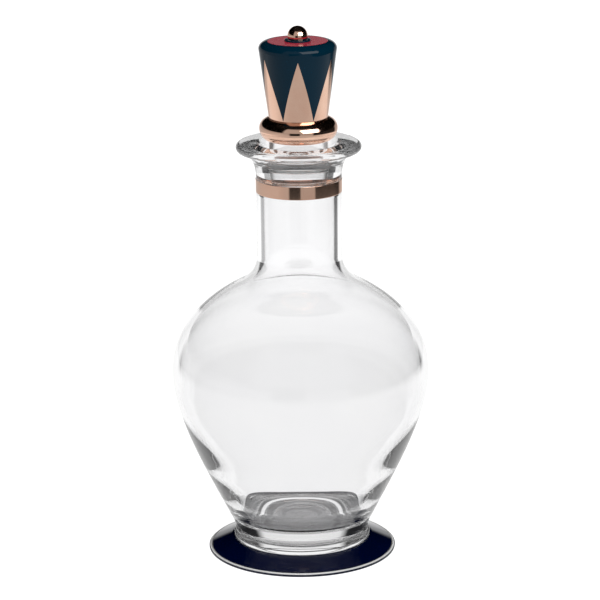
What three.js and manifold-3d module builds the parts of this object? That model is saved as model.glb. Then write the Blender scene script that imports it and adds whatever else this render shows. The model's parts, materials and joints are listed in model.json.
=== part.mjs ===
// A clear glass decanter on a dark disc foot, with a copper neck band and a tall copper and
// enamel stopper. Every physical piece is a separate closed solid.
// Millimetres, +Z up. The origin is the centre of the foot's underside, and -Y is the front.
import * as THREE from 'three';
import { mergeVertices } from 'three/addons/utils/BufferGeometryUtils.js';
import Module from 'manifold-3d';

// Clearances
const FIT = 0.3; // between pieces that were turned or cut to fit each other
const JOINT_GAP = 0.3; // ground plug to ground bore
const BAND_FIT = 0.2; // neck band to its groove, filled by the bond

// Foot
const FOOT_RADIUS = 46;
const FOOT_EDGE_HEIGHT = 1.2;
const FOOT_EDGE_CHAMFER = 0.4;
const FOOT_HEIGHT = 6.6; // underside to the seat of the base disc
const FOOT_SEAT_MARGIN = 0.7; // seat beyond the base disc
const FOOT_REST_WIDTH = 8; // flat ring that the foot stands on
const FOOT_RECESS_DEPTH = 1.6;

// Bright line set into the foot's rim
const RIM_INSET = 0.35; // foot's edge to the groove
const RIM_WIDTH = 1.1;
const RIM_HEIGHT = 1.0;
const RIM_GROOVE_DEPTH = 0.5;

// Stepped glass button between the foot and the vessel
const BASE_DISC_RADIUS = 33.5;
const BASE_DISC_HEIGHT = 4.2;
const BASE_DISC_STEP = 0.8; // how much narrower the upper step is
const BASE_DISC_STEP_HEIGHT = 2.0;

// Vessel, outside
const BODY_BASE_RADIUS = 31.9;
const BODY_BASE_EDGE = 0.6; // rounding of the bottom edge
const BODY_BASE_SLOPE = 65; // degrees above level where the body leaves the base
const BULB_RADIUS = 62.5;
const BULB_HEIGHT = 80.2; // vessel's underside to the widest place
const SHOULDER_RADIUS = 30.2; // where the dome turns into the neck's root
const SHOULDER_RISE = 44.1; // widest place to that turn
const SHOULDER_SLOPE = 28.3; // degrees below level at that turn
const NECK_RADIUS = 20.7;
const NECK_ROOT_RISE = 13.5; // that turn to the straight neck
const NECK_LENGTH = 56; // straight neck's start to the top of the lip
const LIP_RADIUS = 30.2;
const LIP_THICKNESS = 4.2;
const LIP_FILLET_HEIGHT = 11.9; // flare under the lip
const LIP_FILLET_REACH = 2.6; // how far out that flare pulls

// Vessel, inside
const MOUTH_RADIUS = 20.4; // where the lip's top starts to fall into the mouth
const MOUTH_DEPTH = 7.6; // lip's top to the ground bore
const GROUND_LENGTH = 11;
const BORE_FLARE_LENGTH = 7; // ground bore to the neck's full bore
const NECK_WALL = 3.8;
const SHOULDER_WALL = 2.6;
const BULB_WALL = 3.8;
const LOWER_WALL = 4.8;
const LOWER_SHARE = 0.43; // its place along the curve of the lower body, as are the next two
const MIDDLE_WALL = 5.8;
const MIDDLE_SHARE = 0.24;
const CORNER_WALL = 6.2; // where the wall starts to turn into the floor
const CORNER_SHARE = 0.13;
const FLOOR_RADIUS = 16; // flat part of the bowl-shaped floor
const FLOOR_HEIGHT = 6.5; // floor above the vessel's underside
const PUNT_RADIUS = 25; // shallow hollow in the underside
const PUNT_HEIGHT = 3.0;

// Neck band
const BAND_DROP = 17.5; // lip's top to the band's top
const BAND_HEIGHT = 6.3;
const BAND_THICKNESS = 0.5;
const BAND_GROOVE_DEPTH = 0.5; // the band lies almost flush with the neck
const BAND_EDGE = 0.15;

// Stopper: ground plug, its seal and its bond
const PLUG_RADIUS = 14.2;
const PLUG_TAPER = 1.1; // radius lost along the ground length
const PLUG_TIP = 2.0; // rounded end below the ground length
const SEAL_SECTION = 1.6;
const SEAL_DROP = 2.6; // top of the ground length to the seal's middle
const SPIGOT_RADIUS = 9.5;
const SOCKET_DEPTH = 5;
const CEMENT_THICKNESS = 1.0;

// Stopper: flange, drum and enamel
const FLANGE_LIFT = 1.4; // lip's top to the flange's underside
const FLANGE_RADIUS = 18.9;
const FLANGE_HEIGHT = 10.5;
const FLANGE_EQUATOR = 5.8; // flange's underside to its widest place
const BOSS_HEIGHT = 3; // boss in the drum's bore
const DRUM_FOOT_RADIUS = 14.2;
const DRUM_TOP_RADIUS = 18.75;
const DRUM_HEIGHT = 37.2;
const DRUM_BORE_RADIUS = 11.4;
const DRUM_PLATE = 2.5; // top plate under the red disc
const CROWN_ROUND_HEIGHT = 3.5;
const ENAMEL_THICKNESS = 0.8;
const ENAMEL_BAND = 7.3; // drum's top to the copper points
const ENAMEL_POINTS = 6;
const ENAMEL_TIP_RISE = 0.5; // drum's foot to the tips of the dark points

// Stopper: top disc, finial and tie stud
const TOP_DISC_RADIUS = 14.4;
const TOP_DISC_THICKNESS = 1.5;
const COLLAR_RADIUS = 6.3;
const COLLAR_HEIGHT = 0.8;
const BALL_RADIUS = 4.85;
const BALL_CENTRE_RISE = 1.55; // collar's top to the ball's centre
const BALL_SOCKET_DEPTH = 3.2;
const STUD_RADIUS = 2.0;
const STUD_FLOOR = 1.5; // metal left between the plug's socket and the stud's hole

// Facets
const TURN_STEPS = 40;
const FINE_TURN_STEPS = 24;
const SEAL_STEPS = 8;
const BODY_STEPS = 9; // along the long curve of the lower body
const DOME_STEPS = 7; // along the dome and its inside
const ROUND_STEPS = 5; // along a full quarter round
const EDGE_STEPS = 3; // along a small rounded edge
const BALL_STEPS = 9;
const MERGE_DISTANCE = 1e-4; // corners closer than this are one corner

// Curve fullness, as shares of the run of each curve
const BODY_FULLNESS = 0.3;
const DOME_FULLNESS = 0.52;
const ROOT_FULLNESS = 0.52;
const ROUND_FULLNESS = 0.55;
const WALL_FULLNESS = 0.47;
const LEAN_FULLNESS = 0.33;

// Heights and radii that follow from the sizes above
const vesselZ = FOOT_HEIGHT + BASE_DISC_HEIGHT;
const bulbZ = vesselZ + BULB_HEIGHT;
const shoulderZ = bulbZ + SHOULDER_RISE;
const neckZ = shoulderZ + NECK_ROOT_RISE;
const lipTopZ = neckZ + NECK_LENGTH;
const lipUnderZ = lipTopZ - LIP_THICKNESS;
const bandTopZ = lipTopZ - BAND_DROP;
const bandUnderZ = bandTopZ - BAND_HEIGHT;
const bandSeatRadius = NECK_RADIUS - BAND_GROOVE_DEPTH;
const groundTopZ = lipTopZ - MOUTH_DEPTH;
const groundEndZ = groundTopZ - GROUND_LENGTH;
const plugEndRadius = PLUG_RADIUS - PLUG_TAPER;
const sealZ = groundTopZ - SEAL_DROP;
const sealOuterRadius = PLUG_RADIUS - PLUG_TAPER * (SEAL_DROP / GROUND_LENGTH);
const flangeZ = lipTopZ + FLANGE_LIFT;
const socketRadius = SPIGOT_RADIUS + CEMENT_THICKNESS + 2 * FIT;
const socketTopZ = flangeZ + SOCKET_DEPTH;
const bossRadius = DRUM_BORE_RADIUS - FIT;
const studHoleRadius = STUD_RADIUS + FIT;
const studHoleZ = socketTopZ + STUD_FLOOR;
const drumZ = flangeZ + FLANGE_HEIGHT;
const drumTopZ = drumZ + DRUM_HEIGHT;
const crownZ = drumTopZ - CROWN_ROUND_HEIGHT;
const enamelEdgeRadius = TOP_DISC_RADIUS + FIT;
const ballCutZ = drumTopZ + COLLAR_HEIGHT;
const ballSocketZ = ballCutZ + BALL_SOCKET_DEPTH;

const wasm = await Module();
wasm.setup();

/** A point of a turned outline: radius and height. */
function at(radius, height) {
  return new THREE.Vector2(radius, height);
}

/** A cubic curve from one outline point to another, drawn towards the two points between. */
function bend(start, startPull, endPull, end) {
  return new THREE.CubicBezierCurve(start, startPull, endPull, end);
}

/** A quarter round that leaves its start straight up or down and reaches its end level. */
function roundToLevel(start, end) {
  const up = at(start.x, start.y + (end.y - start.y) * ROUND_FULLNESS);
  const across = at(end.x + (start.x - end.x) * ROUND_FULLNESS, end.y);
  return bend(start, up, across, end);
}

/** A quarter round that leaves its start level and reaches its end straight up or down. */
function roundToUpright(start, end) {
  const across = at(start.x + (end.x - start.x) * ROUND_FULLNESS, start.y);
  const up = at(end.x, end.y + (start.y - end.y) * ROUND_FULLNESS);
  return bend(start, across, up, end);
}

/** Outline points from a list of single points and of [curve, steps] pairs, in order. */
function outline(runs) {
  const points = [];
  for (const run of runs) {
    const added = Array.isArray(run) ? run[0].getPoints(run[1]) : [run];
    for (const point of added) {
      if (!points.length || points.at(-1).distanceTo(point) > MERGE_DISTANCE) points.push(point);
    }
  }
  return points;
}

/** Turns an outline, given anticlockwise, about the Z axis. */
function turned(points, steps = TURN_STEPS) {
  const geometry = new THREE.LatheGeometry(points, steps);
  geometry.rotateX(Math.PI / 2);
  return geometry;
}

/** Turns an outline of a ring, which closes on itself. */
function turnedRing(points, steps = TURN_STEPS) {
  return turned([...points, points[0].clone()], steps);
}

/** A three.js geometry as a solid that can be joined and cut. */
function solid(geometry) {
  const bare = geometry.clone();
  bare.deleteAttribute('normal');
  bare.deleteAttribute('uv');
  const merged = mergeVertices(bare, MERGE_DISTANCE);
  const corners = merged.index.array;
  const kept = [];
  for (let i = 0; i < corners.length; i += 3) {
    const [a, b, c] = [corners[i], corners[i + 1], corners[i + 2]];
    if (a !== b && b !== c && c !== a) kept.push(a, b, c);
  }
  return new wasm.Manifold(new wasm.Mesh({
    numProp: 3,
    vertProperties: new Float32Array(merged.attributes.position.array),
    triVerts: new Uint32Array(kept),
  }));
}

/** A joined or cut solid as a three.js geometry. */
function geometryOf(manifold) {
  const mesh = manifold.getMesh();
  const geometry = new THREE.BufferGeometry();
  geometry.setAttribute('position', new THREE.BufferAttribute(mesh.vertProperties, 3));
  geometry.setIndex(new THREE.BufferAttribute(mesh.triVerts, 1));
  return geometry;
}

/** A named piece with its own finish. */
function piece(name, geometry, look) {
  const mesh = new THREE.Mesh(geometry, new THREE.MeshStandardMaterial(look));
  mesh.name = name;
  return mesh;
}

const CLEAR_GLASS = { color: 0xeef2f3, roughness: 0.02, metalness: 0, transparent: true, opacity: 0.35 };
const NAVY_GLASS = { color: 0x050a24, roughness: 0.05, metalness: 0 };
const SILVER = { color: 0xe9eaec, roughness: 0.12, metalness: 1 };
const COPPER = { color: 0xc69a80, roughness: 0.12, metalness: 1 };
const DARK_ENAMEL = { color: 0x0a1f2e, roughness: 0.08, metalness: 0 };
const RED_ENAMEL = { color: 0x962e3c, roughness: 0.2, metalness: 0 };
const SILICONE = { color: 0xdfe3e4, roughness: 0.35, metalness: 0 };
const CEMENT = { color: 0xd8d2c4, roughness: 0.8, metalness: 0 };
const STEEL = { color: 0xa9acb0, roughness: 0.3, metalness: 1 };

/** Dark disc foot: flat rest ring, hollow underside, groove in the rim and a raised seat. */
function footDisc() {
  const seatRadius = BASE_DISC_RADIUS + FOOT_SEAT_MARGIN;
  const grooveOuter = FOOT_RADIUS - RIM_INSET;
  const grooveInner = grooveOuter - RIM_WIDTH - 2 * FIT;
  const grooveZ = FOOT_EDGE_HEIGHT - RIM_GROOVE_DEPTH;
  const restInner = FOOT_RADIUS - FOOT_EDGE_CHAMFER - FOOT_REST_WIDTH;
  const slope = (FOOT_HEIGHT - FOOT_EDGE_HEIGHT) / (FOOT_RADIUS - seatRadius);
  const shoulderHeight = FOOT_EDGE_HEIGHT + slope * (FOOT_RADIUS - grooveInner);
  return turned([
    at(0, FOOT_RECESS_DEPTH),
    at(restInner - FOOT_RECESS_DEPTH, FOOT_RECESS_DEPTH),
    at(restInner, 0),
    at(FOOT_RADIUS - FOOT_EDGE_CHAMFER, 0),
    at(FOOT_RADIUS, FOOT_EDGE_CHAMFER),
    at(FOOT_RADIUS, FOOT_EDGE_HEIGHT),
    at(grooveOuter, FOOT_EDGE_HEIGHT),
    at(grooveOuter, grooveZ),
    at(grooveInner, grooveZ),
    at(grooveInner, shoulderHeight),
    at(seatRadius, FOOT_HEIGHT),
    at(0, FOOT_HEIGHT),
  ]);
}

/** Bright bead that lies in the groove of the foot's rim. */
function footRimRing() {
  const outer = FOOT_RADIUS - RIM_INSET - FIT;
  const inner = outer - RIM_WIDTH;
  const middle = (outer + inner) / 2;
  const floorZ = FOOT_EDGE_HEIGHT - RIM_GROOVE_DEPTH;
  const sideZ = floorZ + RIM_HEIGHT - RIM_WIDTH / 2;
  const topZ = floorZ + RIM_HEIGHT;
  return turnedRing(outline([
    at(inner, floorZ),
    at(outer, floorZ),
    [roundToLevel(at(outer, sideZ), at(middle, topZ)), EDGE_STEPS],
    [roundToUpright(at(middle, topZ), at(inner, sideZ)), EDGE_STEPS],
  ]));
}

/** Clear stepped disc that joins the vessel to the foot. */
function baseDisc() {
  const upperRadius = BASE_DISC_RADIUS - BASE_DISC_STEP;
  const stepZ = FOOT_HEIGHT + BASE_DISC_STEP_HEIGHT;
  const edge = BASE_DISC_STEP / 2;
  return turned(outline([
    at(0, FOOT_HEIGHT),
    at(BASE_DISC_RADIUS - edge, FOOT_HEIGHT),
    at(BASE_DISC_RADIUS, FOOT_HEIGHT + edge),
    [roundToLevel(at(BASE_DISC_RADIUS, stepZ - edge), at(upperRadius, stepZ)), EDGE_STEPS],
    at(upperRadius, vesselZ - edge),
    at(upperRadius - edge, vesselZ),
    at(0, vesselZ),
  ]));
}

/** The long curve of the lower body's outside, from its base to its widest place. */
function bodyCurve() {
  const rise = THREE.MathUtils.degToRad(BODY_BASE_SLOPE);
  const pull = BULB_HEIGHT * BODY_FULLNESS;
  const base = at(BODY_BASE_RADIUS, vesselZ + BODY_BASE_EDGE);
  return bend(
    base,
    at(base.x + pull * Math.cos(rise), base.y + pull * Math.sin(rise)),
    at(BULB_RADIUS, bulbZ - pull),
    at(BULB_RADIUS, bulbZ),
  );
}

/** The vessel's outside, from its bottom edge up to the edge of the lip. */
function vesselOutside() {
  const fall = THREE.MathUtils.degToRad(SHOULDER_SLOPE);
  const widest = at(BULB_RADIUS, bulbZ);
  const turn = at(SHOULDER_RADIUS, shoulderZ);
  const root = at(NECK_RADIUS, neckZ);
  const domePull = (BULB_RADIUS - SHOULDER_RADIUS) * DOME_FULLNESS;
  const rootPull = (SHOULDER_RADIUS - NECK_RADIUS) * ROOT_FULLNESS;
  const lipRound = LIP_THICKNESS / 2;
  const filletStart = at(NECK_RADIUS, lipUnderZ - LIP_FILLET_HEIGHT);
  const filletEnd = at(LIP_RADIUS - lipRound, lipUnderZ);
  const lipEdge = at(LIP_RADIUS, lipTopZ - lipRound);
  return [
    at(BODY_BASE_RADIUS - BODY_BASE_EDGE, vesselZ),
    [bodyCurve(), BODY_STEPS],
    [bend(
      widest,
      at(BULB_RADIUS, bulbZ + SHOULDER_RISE * DOME_FULLNESS),
      at(turn.x + domePull * Math.cos(fall), turn.y - domePull * Math.sin(fall)),
      turn,
    ), DOME_STEPS],
    [bend(
      turn,
      at(turn.x - rootPull * Math.cos(fall), turn.y + rootPull * Math.sin(fall)),
      at(NECK_RADIUS, neckZ - NECK_ROOT_RISE * ROOT_FULLNESS),
      root,
    ), ROUND_STEPS],
    at(NECK_RADIUS, bandUnderZ - BAND_FIT),
    at(bandSeatRadius, bandUnderZ - BAND_FIT),
    at(bandSeatRadius, bandTopZ + BAND_FIT),
    at(NECK_RADIUS, bandTopZ + BAND_FIT),
    [bend(
      filletStart,
      at(NECK_RADIUS, filletStart.y + LIP_FILLET_HEIGHT * (1 - ROUND_FULLNESS)),
      at(NECK_RADIUS + LIP_FILLET_REACH, lipUnderZ),
      filletEnd,
    ), ROUND_STEPS],
    [roundToUpright(filletEnd, lipEdge), EDGE_STEPS],
    [roundToLevel(lipEdge, at(LIP_RADIUS - lipRound, lipTopZ)), EDGE_STEPS],
  ];
}

/** A place inside the lower wall, at a share of its outside curve, and the way that the wall leans there. */
function wallPlace(share, wall) {
  const outside = bodyCurve();
  const level = outside.getPoint(share);
  return { place: at(level.x - wall, level.y), lean: outside.getTangent(share) };
}

/** The point at a distance from such a place, up along the wall's lean. */
function along({ place, lean }, distance) {
  return at(place.x + lean.x * distance, place.y + lean.y * distance);
}

/** The inside of the wall from one such place down to the next. */
function wallBetween(upper, under) {
  const pull = (upper.place.y - under.place.y) * LEAN_FULLNESS;
  return bend(upper.place, along(upper, -pull), along(under, pull), under.place);
}

/** The vessel's inside, from the mouth down to the middle of the floor. */
function vesselInside() {
  const fall = THREE.MathUtils.degToRad(SHOULDER_SLOPE);
  const bore = NECK_RADIUS - NECK_WALL;
  const groundTop = at(PLUG_RADIUS + JOINT_GAP, groundTopZ);
  const groundEnd = at(plugEndRadius + JOINT_GAP, groundEndZ);
  const flareEnd = at(bore, groundEndZ - BORE_FLARE_LENGTH);
  const flareMiddle = (groundEndZ + flareEnd.y) / 2;
  const root = at(bore, neckZ);
  const turn = at(
    SHOULDER_RADIUS - SHOULDER_WALL * Math.sin(fall),
    shoulderZ - SHOULDER_WALL * Math.cos(fall),
  );
  const widest = at(BULB_RADIUS - BULB_WALL, bulbZ);
  const lower = wallPlace(LOWER_SHARE, LOWER_WALL);
  const middle = wallPlace(MIDDLE_SHARE, MIDDLE_WALL);
  const corner = wallPlace(CORNER_SHARE, CORNER_WALL);
  const floorZ = vesselZ + FLOOR_HEIGHT;
  const upperFall = bulbZ - lower.place.y;
  const cornerFall = corner.place.y - floorZ;
  const domePull = (widest.x - turn.x) * DOME_FULLNESS;
  const rootPull = (turn.x - bore) * ROOT_FULLNESS;
  return [
    [roundToUpright(at(MOUTH_RADIUS, lipTopZ), groundTop), ROUND_STEPS],
    groundEnd,
    [bend(groundEnd, at(groundEnd.x, flareMiddle), at(bore, flareMiddle), flareEnd), ROUND_STEPS],
    [bend(
      root,
      at(bore, neckZ - NECK_ROOT_RISE * ROOT_FULLNESS),
      at(turn.x - rootPull * Math.cos(fall), turn.y + rootPull * Math.sin(fall)),
      turn,
    ), ROUND_STEPS],
    [bend(
      turn,
      at(turn.x + domePull * Math.cos(fall), turn.y - domePull * Math.sin(fall)),
      at(widest.x, bulbZ + (turn.y - bulbZ) * DOME_FULLNESS),
      widest,
    ), DOME_STEPS],
    [bend(
      widest,
      at(widest.x, bulbZ - upperFall * WALL_FULLNESS),
      along(lower, upperFall * LEAN_FULLNESS),
      lower.place,
    ), DOME_STEPS],
    [wallBetween(lower, middle), ROUND_STEPS],
    [wallBetween(middle, corner), ROUND_STEPS],
    [bend(
      corner.place,
      along(corner, -cornerFall * ROUND_FULLNESS),
      at(FLOOR_RADIUS + (corner.place.x - FLOOR_RADIUS) * ROUND_FULLNESS, floorZ),
      at(FLOOR_RADIUS, floorZ),
    ), DOME_STEPS],
    at(0, floorZ),
  ];
}

/** Blown vessel: underside with its punt, outside, lip, mouth and inside in one outline. */
function glassVessel() {
  const puntTop = at(0, vesselZ + PUNT_HEIGHT);
  return turned(outline([
    [roundToUpright(puntTop, at(PUNT_RADIUS, vesselZ)), ROUND_STEPS],
    ...vesselOutside(),
    ...vesselInside(),
  ]));
}

/** Thin copper band in the neck's groove. */
function neckBand() {
  const inner = bandSeatRadius + BAND_FIT;
  const outer = inner + BAND_THICKNESS;
  return turnedRing([
    at(inner, bandUnderZ),
    at(outer - BAND_EDGE, bandUnderZ),
    at(outer, bandUnderZ + BAND_EDGE),
    at(outer, bandTopZ - BAND_EDGE),
    at(outer - BAND_EDGE, bandTopZ),
    at(inner, bandTopZ),
  ]);
}

/** Clear plug: rounded tip, ground taper with the seal's groove, stem and spigot. */
function stopperPlug() {
  const taperAt = (z) => PLUG_RADIUS - PLUG_TAPER * ((groundTopZ - z) / GROUND_LENGTH);
  const grooveFloor = sealOuterRadius - SEAL_SECTION - FIT;
  const grooveHalf = SEAL_SECTION / 2 + FIT;
  const tip = at(plugEndRadius - PLUG_TIP, groundEndZ - PLUG_TIP);
  return turned(outline([
    at(0, tip.y),
    [roundToUpright(tip, at(plugEndRadius, groundEndZ)), ROUND_STEPS],
    at(taperAt(sealZ - grooveHalf), sealZ - grooveHalf),
    at(grooveFloor, sealZ - grooveHalf),
    at(grooveFloor, sealZ + grooveHalf),
    at(taperAt(sealZ + grooveHalf), sealZ + grooveHalf),
    at(PLUG_RADIUS, groundTopZ),
    at(PLUG_RADIUS, flangeZ),
    at(SPIGOT_RADIUS, flangeZ),
    at(SPIGOT_RADIUS, socketTopZ - FIT),
    at(0, socketTopZ - FIT),
  ]));
}

/** Soft clear ring in the plug's groove. */
function sealRing() {
  const tube = SEAL_SECTION / 2;
  const ring = new THREE.TorusGeometry(sealOuterRadius - tube, tube, SEAL_STEPS, TURN_STEPS);
  ring.translate(0, 0, sealZ);
  return ring;
}

/** Bond between the plug's spigot and the flange's socket. */
function plugCement() {
  const inner = SPIGOT_RADIUS + FIT;
  const outer = inner + CEMENT_THICKNESS;
  return turnedRing([
    at(inner, flangeZ),
    at(outer, flangeZ),
    at(outer, socketTopZ - FIT),
    at(inner, socketTopZ - FIT),
  ], FINE_TURN_STEPS);
}

/** Copper flange: socket for the plug below, boss and stud hole above. */
function stopperFlange() {
  const equator = at(FLANGE_RADIUS, flangeZ + FLANGE_EQUATOR);
  return turned(outline([
    at(0, socketTopZ),
    at(socketRadius, socketTopZ),
    at(socketRadius, flangeZ),
    [roundToUpright(at(PLUG_RADIUS, flangeZ), equator), ROUND_STEPS],
    [roundToLevel(equator, at(DRUM_FOOT_RADIUS, drumZ)), ROUND_STEPS],
    at(bossRadius, drumZ),
    at(bossRadius, drumZ + BOSS_HEIGHT),
    at(studHoleRadius, drumZ + BOSS_HEIGHT),
    at(studHoleRadius, studHoleZ),
    at(0, studHoleZ),
  ]));
}

/** The drum's side and rounded crown, moved inwards by an inset, up to an edge on its top. */
function drumSide(inset, edgeRadius) {
  const shoulder = at(DRUM_TOP_RADIUS - inset, crownZ);
  const top = at(edgeRadius, drumTopZ - inset);
  return [at(DRUM_FOOT_RADIUS - inset, drumZ), [roundToLevel(shoulder, top), ROUND_STEPS]];
}

/** Radius of the drum's side at a height. */
function drumRadiusAt(z) {
  return DRUM_FOOT_RADIUS + (DRUM_TOP_RADIUS - DRUM_FOOT_RADIUS) * ((z - drumZ) / (crownZ - drumZ));
}

/** Ring between two insets of the drum's side. */
function drumShell(outerInset, innerInset, edgeRadius) {
  const outer = outline(drumSide(outerInset, edgeRadius));
  const inner = outline(drumSide(innerInset, edgeRadius)).reverse();
  return solid(turnedRing([...outer, ...inner]));
}

/** Everything above the copper points and within the dark points, widened by a margin. */
function enamelReach(margin) {
  const reach = 2 * DRUM_TOP_RADIUS;
  const bandZ = drumTopZ - ENAMEL_BAND;
  const tipZ = drumZ + ENAMEL_TIP_RISE;
  const halfWidth = drumRadiusAt(bandZ) * Math.sin(Math.PI / ENAMEL_POINTS);
  const halfAngle = Math.atan2(halfWidth, bandZ - tipZ);
  const marginTipZ = tipZ - margin / Math.sin(halfAngle);
  const overZ = bandZ + ENAMEL_BAND / 2;
  const overWidth = (overZ - marginTipZ) * Math.tan(halfAngle);
  const point = new THREE.Shape([at(0, marginTipZ), at(overWidth, overZ), at(-overWidth, overZ)]);
  let area = solid(turned([
    at(0, bandZ - margin),
    at(reach, bandZ - margin),
    at(reach, drumTopZ + reach),
    at(0, drumTopZ + reach),
  ]));
  for (let i = 0; i < ENAMEL_POINTS; i += 1) {
    const wedge = new THREE.ExtrudeGeometry(point, { depth: reach, bevelEnabled: false });
    wedge.rotateX(Math.PI / 2);
    wedge.rotateZ(((i + 0.5) * 2 * Math.PI) / ENAMEL_POINTS);
    area = area.add(solid(wedge));
  }
  return area;
}

/** Hollow copper drum with pockets for the dark enamel and a recess for the red disc. */
function stopperDrum() {
  const recessZ = drumTopZ - TOP_DISC_THICKNESS;
  const plateZ = recessZ - DRUM_PLATE;
  const blank = solid(turnedRing([
    ...outline(drumSide(0, enamelEdgeRadius)),
    at(enamelEdgeRadius, recessZ),
    at(studHoleRadius, recessZ),
    at(studHoleRadius, plateZ),
    at(DRUM_BORE_RADIUS, plateZ),
    at(DRUM_BORE_RADIUS, drumZ),
  ]));
  // The pocket runs on into the red disc's recess, so that no skin is left between the two.
  const hollow = drumShell(-ENAMEL_THICKNESS, ENAMEL_THICKNESS + FIT, TOP_DISC_RADIUS);
  const pocket = hollow.intersect(enamelReach(FIT));
  return geometryOf(blank.subtract(pocket));
}

/** Dark enamel: the crown and its points, as one shell. */
function enamelCrown() {
  return geometryOf(drumShell(0, ENAMEL_THICKNESS, enamelEdgeRadius).intersect(enamelReach(0)));
}

/** Red disc in the drum's top. */
function topDisc() {
  return turnedRing([
    at(studHoleRadius, drumTopZ - TOP_DISC_THICKNESS),
    at(TOP_DISC_RADIUS, drumTopZ - TOP_DISC_THICKNESS),
    at(TOP_DISC_RADIUS, drumTopZ),
    at(studHoleRadius, drumTopZ),
  ]);
}

/** Dark collar under the ball. */
function finialCollar() {
  const edge = COLLAR_HEIGHT / 2;
  return turnedRing(outline([
    at(studHoleRadius, drumTopZ),
    at(COLLAR_RADIUS, drumTopZ),
    [roundToLevel(at(COLLAR_RADIUS, drumTopZ + edge), at(COLLAR_RADIUS - edge, ballCutZ)), EDGE_STEPS],
    at(studHoleRadius, ballCutZ),
  ]), FINE_TURN_STEPS);
}

/** Copper ball, cut flat where it sits on the collar, with a hole for the stud. */
function finialBall() {
  const cut = Math.asin(-BALL_CENTRE_RISE / BALL_RADIUS);
  const centreZ = ballCutZ + BALL_CENTRE_RISE;
  const round = new THREE.EllipseCurve(0, centreZ, BALL_RADIUS, BALL_RADIUS, cut, Math.PI / 2);
  return turned(outline([
    at(0, ballSocketZ),
    at(studHoleRadius, ballSocketZ),
    at(studHoleRadius, ballCutZ),
    [round, BALL_STEPS],
  ]).map((point) => at(Math.max(point.x, 0), point.y)), FINE_TURN_STEPS);
}

/** Stud that ties the ball, the disc and the drum to the flange. */
function tieStud() {
  const underZ = studHoleZ + FIT;
  const topZ = ballSocketZ - FIT;
  const side = [at(STUD_RADIUS, underZ), at(STUD_RADIUS, topZ)];
  return turned([at(0, underZ), ...side, at(0, topZ)], FINE_TURN_STEPS);
}

const vessel = new THREE.Group();
vessel.add(
  piece('foot_disc', footDisc(), NAVY_GLASS),
  piece('foot_rim_ring', footRimRing(), SILVER),
  piece('base_disc', baseDisc(), CLEAR_GLASS),
  piece('glass_vessel', glassVessel(), CLEAR_GLASS),
  piece('neck_band', neckBand(), COPPER),
);

const stopper = new THREE.Group();
stopper.add(
  piece('stopper_plug', stopperPlug(), CLEAR_GLASS),
  piece('seal_ring', sealRing(), SILICONE),
  piece('plug_cement', plugCement(), CEMENT),
  piece('stopper_flange', stopperFlange(), COPPER),
  piece('stopper_drum', stopperDrum(), COPPER),
  piece('enamel_crown', enamelCrown(), DARK_ENAMEL),
  piece('top_disc', topDisc(), RED_ENAMEL),
  piece('finial_collar', finialCollar(), DARK_ENAMEL),
  piece('finial_ball', finialBall(), COPPER),
  piece('tie_stud', tieStud(), STEEL),
);

const carafe = new THREE.Group();
carafe.add(vessel, stopper);

export default carafe;
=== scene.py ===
"""A clear glass carafe on a dark disc foot, with a copper neck band and a copper and enamel stopper.

Every piece that shows is turned again here, finer than its solid, from the same sizes and in the same
place. Outlines are in millimetres of radius and height, objects are in metres, and -Y is the front.
"""

import functools
import json
import logging
import math
from collections.abc import Callable
from dataclasses import dataclass, field
from enum import Enum

import bmesh
import bpy
from mathutils import Matrix, Vector

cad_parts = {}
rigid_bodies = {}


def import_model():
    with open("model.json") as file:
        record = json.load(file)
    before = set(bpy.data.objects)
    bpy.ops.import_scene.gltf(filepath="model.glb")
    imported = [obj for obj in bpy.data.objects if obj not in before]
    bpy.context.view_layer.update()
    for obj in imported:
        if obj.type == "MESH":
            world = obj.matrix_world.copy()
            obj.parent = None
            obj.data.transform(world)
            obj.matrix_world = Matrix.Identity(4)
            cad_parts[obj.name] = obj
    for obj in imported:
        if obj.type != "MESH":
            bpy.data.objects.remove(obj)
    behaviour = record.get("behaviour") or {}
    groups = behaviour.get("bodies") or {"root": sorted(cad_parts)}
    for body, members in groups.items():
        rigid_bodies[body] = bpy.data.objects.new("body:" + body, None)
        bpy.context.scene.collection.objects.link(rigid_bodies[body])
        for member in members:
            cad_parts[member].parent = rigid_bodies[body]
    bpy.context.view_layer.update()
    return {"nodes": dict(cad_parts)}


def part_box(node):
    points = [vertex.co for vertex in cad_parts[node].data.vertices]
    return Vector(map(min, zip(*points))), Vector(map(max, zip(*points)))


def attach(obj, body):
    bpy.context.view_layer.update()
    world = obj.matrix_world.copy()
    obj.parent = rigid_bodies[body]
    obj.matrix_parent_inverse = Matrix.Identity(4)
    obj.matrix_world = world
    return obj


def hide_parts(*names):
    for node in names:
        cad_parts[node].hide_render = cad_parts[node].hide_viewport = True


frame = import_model()

LOG = logging.getLogger("carafe")
MM = 0.001

Point = tuple[float, float]
Colour = tuple[float, float, float, float]


class Leave(Enum):
    """The way in which a quarter round leaves its first point."""

    LEVEL = "level"
    UPRIGHT = "upright"


class Body(Enum):
    """The rigid bodies that pieces ride on."""

    VESSEL = "vessel"
    SEAL = "seal"
    STOPPER = "stopper"


def low(node: str) -> float:
    """Height of a solid's lowest point, in millimetres."""
    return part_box(node)[0].z / MM


def high(node: str) -> float:
    """Height of a solid's highest point, in millimetres."""
    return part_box(node)[1].z / MM


def reach(node: str) -> float:
    """Largest radius of a solid, in millimetres."""
    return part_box(node)[1].x / MM


def linear(code: str) -> Colour:
    """Turns an sRGB hex colour to linear light.

    Args:
        code: Six hex digits.

    Returns:
        Red, green, blue and full opacity.
    """
    shares = [int(code[i:i + 2], 16) / 255 for i in (0, 2, 4)]
    light = [s / 12.92 if s <= 0.04045 else ((s + 0.055) / 1.055) ** 2.4 for s in shares]
    return (light[0], light[1], light[2], 1.0)


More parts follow.
